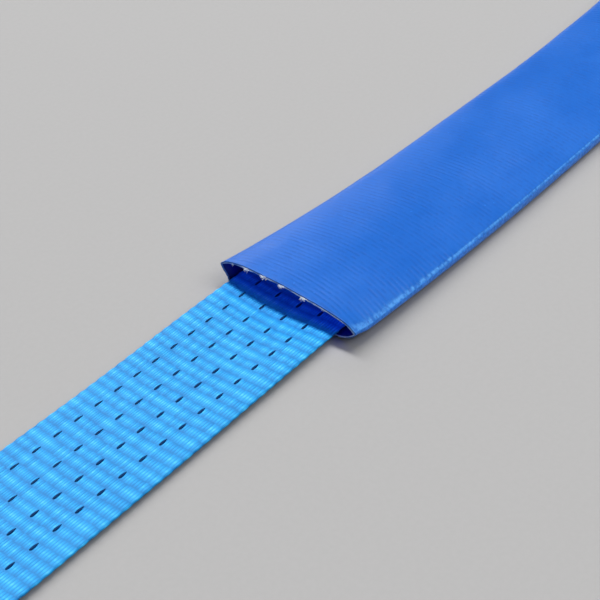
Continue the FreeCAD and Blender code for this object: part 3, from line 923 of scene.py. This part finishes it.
def dashes(name, place, first, last, across, inner, lift=no_lift, mirror=False):
    """Marker floats of one line on one face of a strip, in step with the weave."""
    phase = 0.5 if inner else 0.0
    lead = skew(across)
    start, end = ((limit - lead) / PITCH - phase for limit in (first, last))
    along = (np.arange(math.ceil(start), math.floor(end) + 1) + phase) * PITCH + lead
    spots = np.full(len(along), across)
    depth = PLY - DASH_SINK if inner else DASH_SINK
    centres, forward, sideways, outward = on_strip(place, along, spots, depth, lift, mirror)
    way = -1.0 if inner else 1.0
    on_floor = (way * outward[:, 2] < -0.9) & (centres[:, 2] < 0.1)
    return grains(
        name, MARKER, centres, forward, way * sideways, way * outward,
        DASH_LENGTH, DASH_WIDTH, np.where(on_floor, FLOOR_RISE, DASH_RISE), tail=0.45,
    )


def make_markers():
    """The marker yarns' floats on both faces of the body and of the eyes."""
    on_body, on_eyes = [], {"a": [], "b": []}
    for number, across in enumerate(MARKER_PLACES, start=1):
        for face, inner in (("top", False), ("under", True)):
            line = dashes(
                f"marker_{face}_{number}", body_place, -SEAM_PLACE + 4, SEAM_PLACE - 4,
                across, inner, lift=curl,
            )
            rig.ride(line, "web")
            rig.slot(line, "marker")
            if face == "top":
                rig.replaces(line, f"marker_yarn_{number}")
            on_body.append(line)
        for end in ("a", "b"):
            for face, inner in (("outer", False), ("inner", True)):
                line = dashes(
                    f"marker_{face}_{end}_{number}", eye_place, SEAM_PLACE + 3, SEAM_PLACE + EYE_LENGTH - 3,
                    across, inner, mirror=end == "a",
                )
                across_root(line, end)
                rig.slot(line, "marker")
                on_eyes[end].append(line)
    return on_body, on_eyes


web_body, web_eyes = make_web()
body_markers, eye_markers = make_markers()


# ---------------------------------------------------------------- the sleeve

# Outlines across the sleeve as (y, z), from the +Y fold over the top and back, and the steps after each point
MOUTH_OUTLINE = (
    (35.8, 10.8), (35.0, 12.4), (31.6, 14.4), (23.1, 16.1), (10.4, 16.3), (-1.1, 16.1), (-13.5, 15.0),
    (-25.1, 13.9), (-36.3, 11.7), (-40.8, 9.2), (-41.8, 8.0), (-41.2, 6.4), (-37.4, 3.0), (-32.4, 0.6),
    (-26.0, 0.0), (0.0, 0.0), (28.6, 0.0), (32.3, 1.7), (32.8, 5.8),
)
FLAT_OUTLINE = (
    (32.8, 3.4), (32.2, 5.2), (29.4, 6.9), (19.0, 7.7), (6.0, 8.1), (-7.0, 8.2), (-20.0, 8.0),
    (-32.0, 7.6), (-42.2, 6.9), (-44.4, 6.0), (-45.2, 4.2), (-45.2, 2.6), (-44.4, 1.0), (-42.0, 0.1),
    (-36.0, 0.0), (-4.0, 0.0), (27.0, 0.0), (31.4, 0.5), (32.6, 1.8),
)
OUTLINE_STEPS = (3, 4, 6, 10, 10, 10, 10, 8, 6, 4, 4, 4, 5, 5, 8, 8, 5, 4, 4)
MOUTH_RUN = 165.0  # length over which a mouth settles to the flat outline
CUT_IN, CUT_LEAN = 1.4, 0.012  # how far in the cut lies at the middle, and more for each millimetre to +Y
CUT_BACK = 0.22  # and for each millimetre below the folds
FOLD_LEVEL = 8.0
COVER_WALL, JACKET_WALL, LINING_WALL = 0.5, 0.4, 0.3
RIB_PITCH = 3.0
RIB_HEIGHT = 0.05
RIB_ROW = RIB_PITCH / 5
PLAIN_ROW = 6.0


def closed_curve(points, steps):
    """A smooth closed curve through the points (Catmull-Rom), with that many steps after each point."""
    points = np.array(points)
    out = []
    for number, count in enumerate(steps):
        before, here, after, beyond = (points[(number + k) % len(points)] for k in (-1, 0, 1, 2))
        t = (np.arange(count) / count)[:, None]
        out.append(
            0.5 * (2 * here + (after - before) * t + (2 * before - 5 * here + 4 * after - beyond) * t**2
                   + (3 * here - before - 3 * after + beyond) * t**3)
        )
    return np.concatenate(out)


MOUTH_RING = closed_curve(MOUTH_OUTLINE, OUTLINE_STEPS)
FLAT_RING = closed_curve(FLAT_OUTLINE, OUTLINE_STEPS)
RING = len(MOUTH_RING)


def sleeve_rings(x):
    """Outline at each x as arrays y and z. The -Y side widens at once behind the cut."""
    inside = np.minimum(x - FRONT, BACK - x)[:, None]
    settled = 1 - (1 - np.clip(inside / MOUTH_RUN, 0, 1)) ** 2
    hurry = 0.22 * smooth(inside, 0.0, 11.0) * smooth(-MOUTH_RING[:, 0], 22, 40)
    settled = (settled + hurry * (1 - settled))[..., None]
    rings = MOUTH_RING * (1 - settled) + FLAT_RING * settled
    return rings[..., 0], rings[..., 1]


def ring_normals(y, z):
    """Outward directions round each ring."""
    dy = np.roll(y, -1, axis=1) - np.roll(y, 1, axis=1)
    dz = np.roll(z, -1, axis=1) - np.roll(z, 1, axis=1)
    run = np.hypot(dy, dz)
    return dz / run, -dy / run


def rib_lead(y):
    """How far a cross rib leads towards +X at a place across the sleeve: the ribs bow."""
    return -0.0040 * y**2


def dents(x, y):
    """Broad shallow unevenness of the flat faces."""
    return 0.7 * (table_noise(23, (11, 7), x / 46.0, y / 26.0) - 0.5) + 0.25 * (
        table_noise(24, (37, 17), x / 15.0, y / 11.0) - 0.5
    )


def sleeve_surface(x, inset, ribbed):
    """Points of one skin of the sleeve, and what its material reads: rib number, girth, fold and crease."""
    y, z = sleeve_rings(x)
    out_y, out_z = ring_normals(y, z)
    inside = np.minimum(x - FRONT, BACK - x)[:, None]
    turn = (x[:, None] - rib_lead(y)) / RIB_PITCH
    ripple = 0.0
    if ribbed:
        stroke = table_noise(21, (149, 31), np.round(turn), y / 4.0 + 0.37 * np.round(turn))
        ripple = RIB_HEIGHT * np.cos(2 * math.pi * turn) * smooth(stroke, 0.3, 0.7)
    ends = smooth(inside, 0.0, 25.0)
    height = dents(x[:, None], y) * np.clip(out_z, 0, 1) * ends - inset - ripple * np.clip(out_z + 0.6, 0, 1)
    cut = (CUT_IN + CUT_LEAN * y) * (1 - smooth(inside, 0.0, 40.0))
    cut = cut + CUT_BACK * np.clip(FOLD_LEVEL - z, 0, None) * (1 - smooth(inside, 0.0, 12.0))
    cut = np.where((x < (FRONT + BACK) / 2)[:, None], cut, -cut)
    points = np.stack([x[:, None] + cut, y + out_y * height, z + out_z * height], axis=-1)
    steps = np.hypot(np.diff(y, axis=1, append=y[:, :1]), np.diff(z, axis=1, append=z[:, :1]))
    girth = np.cumsum(steps, axis=1) - steps
    # the near side's fold is painted lighter, and its crease gets a painted highlight
    near = smooth(-y, 30.0, 38.0)
    fold = smooth(0.86 - out_z, 0.0, 0.25) * smooth(out_z, -0.9, -0.5) * near
    crease_highlight = np.exp(-(((out_z - 0.72) / 0.14) ** 2)) * near
    return points, {"along": turn, "across": girth, "fold": fold, "crease_highlight": crease_highlight}


def layer(name, material, inset, wall, row=PLAIN_ROW, ribbed=False, drawn_in=0.0, ragged=0.0):
    """One layer of the sleeve, a closed tube: its ends can be drawn in or stand out, and be ragged."""
    start, end = FRONT + drawn_in, BACK - drawn_in
    outer_x, inner_x = places_between(start, end, row), places_between(start, end, PLAIN_ROW)
    outer, marks = sleeve_surface(outer_x, inset, ribbed)
    inner, inner_marks = sleeve_surface(inner_x, inset + wall, False)
    fray = ragged * np.random.default_rng(31).uniform(-1, 1, (2, RING))
    for skin in (outer, inner):
        skin[0, :, 0] += fray[0]
        skin[-1, :, 0] += fray[1]
    first_inner = len(outer_x) * RING
    last_outer, last_inner = first_inner - RING, first_inner + (len(inner_x) - 1) * RING
    here = np.arange(RING)
    after = (here + 1) % RING
    quads = [
        tube_quads(len(outer_x), RING),
        tube_quads(len(inner_x), RING, first_inner)[:, ::-1],
        np.stack([here, first_inner + here, first_inner + after, after], axis=-1),
        np.stack([last_outer + here, last_outer + after, last_inner + after, last_inner + here], axis=-1),
    ]
    item = make_mesh(
        name, np.concatenate([outer.reshape(-1, 3), inner.reshape(-1, 3)]), np.concatenate(quads), material,
        **{key: np.concatenate([marks[key].ravel(), inner_marks[key].ravel()]) for key in marks},
    )
    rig.ride(item, "sleeve")
    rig.replaces(item, name.replace("_shell", ""))
    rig.slot(item, name.replace("_shell", ""))


def make_sleeve():
    """The cover, the jacket that stands out of it a little, and the lining, each against the last."""
    layer("sleeve_cover_shell", COVER, 0.0, COVER_WALL - 0.02, RIB_ROW, ribbed=True)
    layer("sleeve_jacket_shell", JACKET, COVER_WALL, JACKET_WALL - 0.02, drawn_in=-0.35, ragged=0.2)
    layer("sleeve_lining_shell", LINING, COVER_WALL + JACKET_WALL, LINING_WALL, drawn_in=0.3)


TUFT_PLACES = (28.5, 20.0, 9.5, -0.8, -13.4, -25.0)
TUFT_FIBRES = (6, 30, 26, 26, 38, 4)
TUFT_DEPTH = COVER_WALL + JACKET_WALL / 2
TUFT_SPREAD = 0.75
FULL_TUFT = 12  # fibres; a tuft of fewer has shorter ones
FIBRE_LENGTH = (1.0, 2.3)
FIBRE_WIDTH = (0.18, 0.34)


def make_tufts(name, mouth, ways, seed):
    """Frayed ends of the jacket's yarns below the upper lip of one mouth, as loose tufts of fibres."""
    random = np.random.default_rng(seed)
    top = MOUTH_RING[: RING // 2]
    fibres = []
    for place, count in zip(TUFT_PLACES, TUFT_FIBRES):
        level = np.interp(place, top[::-1, 0], top[::-1, 1]) - TUFT_DEPTH
        cut = mouth + ways * (CUT_IN + CUT_LEAN * place + 0.1)
        grown = 1.1 if count > FULL_TUFT else 0.7
        for _ in range(count):
            root = (cut, place + random.normal(0, TUFT_SPREAD), level)
            out = -ways * random.uniform(0.45, 1.0)
            run = np.array([out, random.normal(0, 0.50), random.normal(-0.05, 0.38)])
            length, width = random.uniform(*FIBRE_LENGTH) * grown, random.uniform(*FIBRE_WIDTH)
            fibres.append((root, run / np.linalg.norm(run), length, width))
    roots, runs, lengths, widths = (np.array(values) for values in zip(*fibres))
    side = np.cross(runs, (0.0, 0.0, 1.0))
    side /= np.linalg.norm(side, axis=1)[:, None]
    centres = roots + runs * (lengths[:, None] / 2 - 0.2)
    up = np.cross(side, runs)
    tuft = grains(name, FRAY, centres, runs, side, up, lengths, widths, widths / 2, tail=0.6)
    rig.ride(tuft, "sleeve")
    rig.slot(tuft, "yarn")
    return tuft


# ---------------------------------------------------------------- sewing

STITCH_LENGTH, STITCH_PITCH, STITCH_WIDTH = 3.4, 4.5, 0.95
TACK_LENGTH, TACK_PITCH = 3.0, 3.8
STITCH_SINK = 0.06  # how far below the web's face a stitch's middle lies
STITCH_RISE = 0.42
UNDER_RISE = 0.14  # on the face that lies on the floor
SEAM_COUNT, SEAM_GAP = 7, 8.5
TACK_ROWS = 3


def stitches(name, centres, along, side, up, length, rise):
    """Stitches as raised lenses of thread, a little uneven."""
    random = np.random.default_rng(len(centres))
    wide = STITCH_WIDTH * random.uniform(0.88, 1.12, len(centres))
    centres = centres + side * random.normal(0, 0.06, len(centres))[:, None]
    item = grains(name, THREAD, centres, along, side, up, length, wide, rise)
    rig.slot(item, "thread")
    return item


def plane_rows(places_x, places_y, level, up):
    """Centres of a lattice of stitches on a level face, and unit vectors along X, along Y and outwards."""
    x, y = (grid.ravel() for grid in np.meshgrid(places_x, places_y))
    centres = np.stack([x, y, np.full(len(x), level)], axis=-1)
    return centres, *(np.tile(way, (len(x), 1)) for way in ((1.0, 0, 0), (0, 1.0, 0), (0, 0, up)))


def row_places(start, end, pitch):
    """Evenly spaced middles that fill a row."""
    count = max(int((end - start) / pitch), 1)
    return (start + end) / 2 + (np.arange(count) - (count - 1) / 2) * pitch


def make_splice_sewing(end):
    """Seven seams along the splice and three tack rows across the eye's root, each seen on both faces."""
    way = 1.0 if end == "b" else -1.0
    seams_x = way * row_places(SEAM_LOW[0], SEAM_HIGH[0], STITCH_PITCH)
    seams_y = (np.arange(SEAM_COUNT) - (SEAM_COUNT - 1) / 2) * SEAM_GAP
    edge = STITCH_WIDTH / 2
    tacks_x = way * np.linspace(TACK_LOW[0] + edge, TACK_HIGH[0] - edge, TACK_ROWS)
    tacks_y = row_places(TACK_LOW[1], TACK_HIGH[1], TACK_PITCH)
    made = []
    for face, level, up, rise in (
        ("top", BODY_TOP + STITCH_SINK, 1.0, STITCH_RISE - STITCH_SINK),
        ("under", STITCH_SINK, -1.0, UNDER_RISE),
    ):
        centres, along, across, out = plane_rows(seams_x, seams_y, level, up)
        seam = stitches(f"splice_stitches_{face}_{end}", centres, along, across, out, STITCH_LENGTH, rise)
        centres, along, across, out = plane_rows(tacks_x, tacks_y, level, up)
        tack = stitches(f"root_stitches_{face}_{end}", centres, across, along, out, TACK_LENGTH, rise)
        if face == "top":
            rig.replaces(seam, f"splice_stitching_{end}")
            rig.replaces(tack, f"root_tack_{end}")
        for item in (seam, tack):
            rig.ride(item, "web")
            made.append(item)
    return made


# ---------------------------------------------------------------- the eyes' wear pads

PAD_GAP = 0.12
PAD_PLY = 1.5
PAD_LEG = 70.0
PAD_DEPTH = PLY + PAD_GAP
PAD_SEAMS = (67.0, 63.0)  # of the rows on each leg, back from the bight
PAD_RELIEF = 0.16
PAD_PITCH, PAD_LANE = 2.6, 1.6
PAD_STITCH_RISE = 0.30


def pad_weave(along, across, half_pitch):
    """Crest of the pad's finer plain weave."""
    along_ridge = np.cos(math.pi * (along / PAD_PITCH + half_pitch))
    ridge = np.abs(along_ridge * np.cos(math.pi * across / PAD_LANE))
    return np.sqrt(ridge)


def make_pad(end):
    """The wear pad along the inside of one eye, and the stitches that hold it."""
    mirror = end == "a"
    bight_start, bight_end = SEAM_PLACE + BIGHT_START, SEAM_PLACE + BIGHT_END
    places = places_between(bight_start - PAD_LEG, bight_end + PAD_LEG, ROW_STEP)
    pad = strip(
        f"wear_pad_{end}", PAD, places, eye_place, PAD_PLY, PAD_RELIEF, pad_weave,
        lift=lambda s, y: -PAD_DEPTH, mirror=mirror, half=HALF_WEB - 0.6,
    )
    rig.ride(pad, f"eye_{end}")
    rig.replaces(pad, f"eye_pad_{end}")
    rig.slot(pad, "pad")
    rows = [bight_start - back for back in PAD_SEAMS] + [bight_end + back for back in PAD_SEAMS]
    across = row_places(TACK_LOW[1], TACK_HIGH[1], TACK_PITCH)
    along, across = (grid.ravel() for grid in np.meshgrid(rows, across))
    made = []
    inner_depth, outer_depth = PAD_DEPTH + PAD_PLY - STITCH_SINK, -STITCH_SINK / 2
    for face, depth, up in (("inner", inner_depth, -1.0), ("outer", outer_depth, 1.0)):
        centres, forward, sideways, outward = on_strip(eye_place, along, across, depth, mirror=mirror)
        on_floor = (face == "outer") & (along > bight_end)
        sewing = stitches(
            f"pad_stitches_{face}_{end}", centres, sideways, up * forward, up * outward, TACK_LENGTH,
            np.where(on_floor, UNDER_RISE - STITCH_SINK, PAD_STITCH_RISE),
        )
        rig.ride(sewing, f"eye_{end}")
        if face == "inner":
            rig.replaces(sewing, f"pad_stitching_{end}")
        made.append(sewing)
    return pad, made


# ---------------------------------------------------------------- the label

LABEL_PLY = 0.36
FILM_PLY = 0.14
TAPE_PLY = 0.5
STACK = LABEL_PLY + FILM_PLY + 0.10  # label, film and the room between them
LABEL_BED = BODY_TOP + 0.13  # the web's crests stand a little proud of its nominal face
TONGUE = 7.5  # length of the label and film under the tape
LABEL_CURL = 1.6
HINGE_X = TAPE_LOW[0]
LABEL_STEP, TAPE_STEP = 0.9, 0.25
LABEL_COLUMNS, FILM_COLUMNS, TAPE_COLUMNS = 46, 50, 90


def plate(name, material, x, y, low, thickness):
    """A thin closed sheet on a grid of places x and y, with its underside at low(x, y) and a rounded rim."""
    grid_x, grid_y = np.meshgrid(x, y, indexing="ij")
    base = low(grid_x, grid_y)
    rim = np.ones_like(base)
    rim[0, :] = rim[-1, :] = rim[:, 0] = rim[:, -1] = 0.55
    middle = base + thickness / 2
    rows, columns = base.shape
    skins = [np.stack([grid_x, grid_y, middle + way * rim * thickness / 2], axis=-1) for way in (1, -1)]
    shift = rows * columns
    index = np.arange(shift).reshape(rows, columns)
    faces = np.stack([index[:-1, :-1], index[1:, :-1], index[1:, 1:], index[:-1, 1:]], axis=-1)
    faces = faces.reshape(-1, 4)
    edge = np.concatenate([index[:-1, 0], index[-1, :-1], index[:0:-1, -1], index[0, :0:-1]])
    after = np.roll(edge, -1)
    wall = np.stack([edge, edge + shift, after + shift, after], axis=-1)
    faces = np.concatenate([faces, faces[:, ::-1] + shift, wall])
    return make_mesh(
        name, np.concatenate(skins).reshape(-1, 3), faces, material,
        along=np.tile(grid_x.ravel(), 2), across=np.tile(grid_y.ravel(), 2),
    )


def label_rise(x, y):
    """How far the label's free end lifts from the web, more at one corner."""
    out = np.clip((HINGE_X - x) / (HINGE_X - LABEL_LOW[0]), 0, 1)
    return LABEL_CURL * out**2.4 * (0.75 + 0.25 * y / LABEL_HIGH[1]) + 0.18 * np.sin(out * 5.0) * out


def film_bed(x, y):
    """The film's underside: on the label, with a little unevenness away from the tape."""
    waves = 0.10 * table_noise(41, (13, 9), x / 7.0, y / 9.0) * smooth(HINGE_X - x, 2.0, 12.0)
    return LABEL_BED + LABEL_PLY + 0.05 + label_rise(x, y) + waves


def tape_bed(x, y):
    """The tape's underside: over the label and film, down beside them, with fine ribs."""
    over = 1 - smooth(np.abs(y), LABEL_HIGH[1], TAPE_HIGH[1] + 1.6)
    return LABEL_BED + STACK * over + 0.05 * np.cos(2 * math.pi * x / 1.1)


def across_label_hinge(piece):
    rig.blend(
        piece, "web", "label",
        start=((HINGE_X + 1.5) * MM, 0, 0.005),
        end=((HINGE_X - 5.0) * MM, 0, 0.005),
    )


def make_label():
    """The blank label in its clear film, its tongue under the tape, the tape and the stitches through it."""
    sheet = plate(
        "label_cloth", LABEL,
        np.arange(LABEL_LOW[0], HINGE_X + TONGUE, LABEL_STEP),
        np.linspace(LABEL_LOW[1], LABEL_HIGH[1], LABEL_COLUMNS),
        lambda x, y: LABEL_BED + label_rise(x, y), LABEL_PLY,
    )
    across_label_hinge(sheet)
    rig.replaces(sheet, "label_sheet")
    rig.slot(sheet, "label")
    film = plate(
        "label_film", FILM,
        np.arange(FILM_LOW[0], HINGE_X + TONGUE, LABEL_STEP),
        np.linspace(FILM_LOW[1] + 0.3, FILM_HIGH[1] - 0.3, FILM_COLUMNS), film_bed, FILM_PLY,
    )
    across_label_hinge(film)
    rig.replaces(film, "label_cover")
    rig.slot(film, "label_cover")

    tape = plate(
        "label_binding", TAPE,
        np.arange(TAPE_LOW[0] - 0.2, TAPE_HIGH[0] + 0.2, TAPE_STEP),
        np.linspace(TAPE_LOW[1] - 2.0, TAPE_HIGH[1] + 2.0, TAPE_COLUMNS), tape_bed, TAPE_PLY,
    )
    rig.ride(tape, "web")
    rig.replaces(tape, "label_tape")
    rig.slot(tape, "tape")
    places_y = row_places(LABEL_LOW[1], LABEL_HIGH[1], 3.6)
    places_x = (TAPE_LOW[0] + 2.0, TAPE_HIGH[0] - 2.0)
    centres, along, across, out = plane_rows(places_x, places_y, LABEL_BED + STACK + TAPE_PLY, 1.0)
    sewing = stitches("label_stitches", centres, across, along, out, 2.7, 0.26)
    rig.ride(sewing, "web")
    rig.replaces(sewing, "label_stitching")
    return sheet, film, [tape, sewing]


make_sleeve()
front_tuft = make_tufts("yarn_tufts_front", FRONT, 1.0, 51)
rear_tuft = make_tufts("yarn_tufts_rear", BACK, -1.0, 52)
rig.replaces(front_tuft, "yarn_ends_front")
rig.replaces(rear_tuft, "yarn_ends_rear")
splice_sewing = make_splice_sewing("a") + make_splice_sewing("b")
pads = {end: make_pad(end) for end in ("a", "b")}
label_sheet, label_film, label_fixings = make_label()


# ---------------------------------------------------------------- what is cloth, and the size it was cut to

def metres(*lengths):
    return tuple(length * MM for length in lengths)


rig.sheet(
    web_body, flat=metres(2 * HALF_WEB, 2 * SEAM_PLACE), held="laid", rests_on=["web_eye_a", "web_eye_b"],
    with_pieces=body_markers + splice_sewing + label_fixings,
)
for end in ("a", "b"):
    pad, pad_sewing = pads[end]
    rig.sheet(
        web_eyes[end], flat=metres(2 * HALF_WEB, EYE_LENGTH), held="folded", rests_on=["web_body"],
        with_pieces=eye_markers[end],
    )
    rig.sheet(
        pad, flat=metres(2 * HALF_WEB, BIGHT_END - BIGHT_START + 2 * PAD_LEG), held="folded",
        rests_on=[web_eyes[end]], with_pieces=pad_sewing,
    )
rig.sheet(
    label_sheet, flat=metres(LABEL_HIGH[1] - LABEL_LOW[1], HINGE_X + TONGUE - LABEL_LOW[0]), held="laid",
    rests_on=["web_body"],
)
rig.sheet(
    label_film, flat=metres(FILM_HIGH[1] - FILM_LOW[1], HINGE_X + TONGUE - FILM_LOW[0]), held="laid",
    rests_on=["label_cloth"],
)

low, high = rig.bounds()
with open(SIZE_FILE, "w") as file:
    json.dump({"cad": [list(cad_low), list(cad_high)], "visual": [list(low), list(high)]}, file)
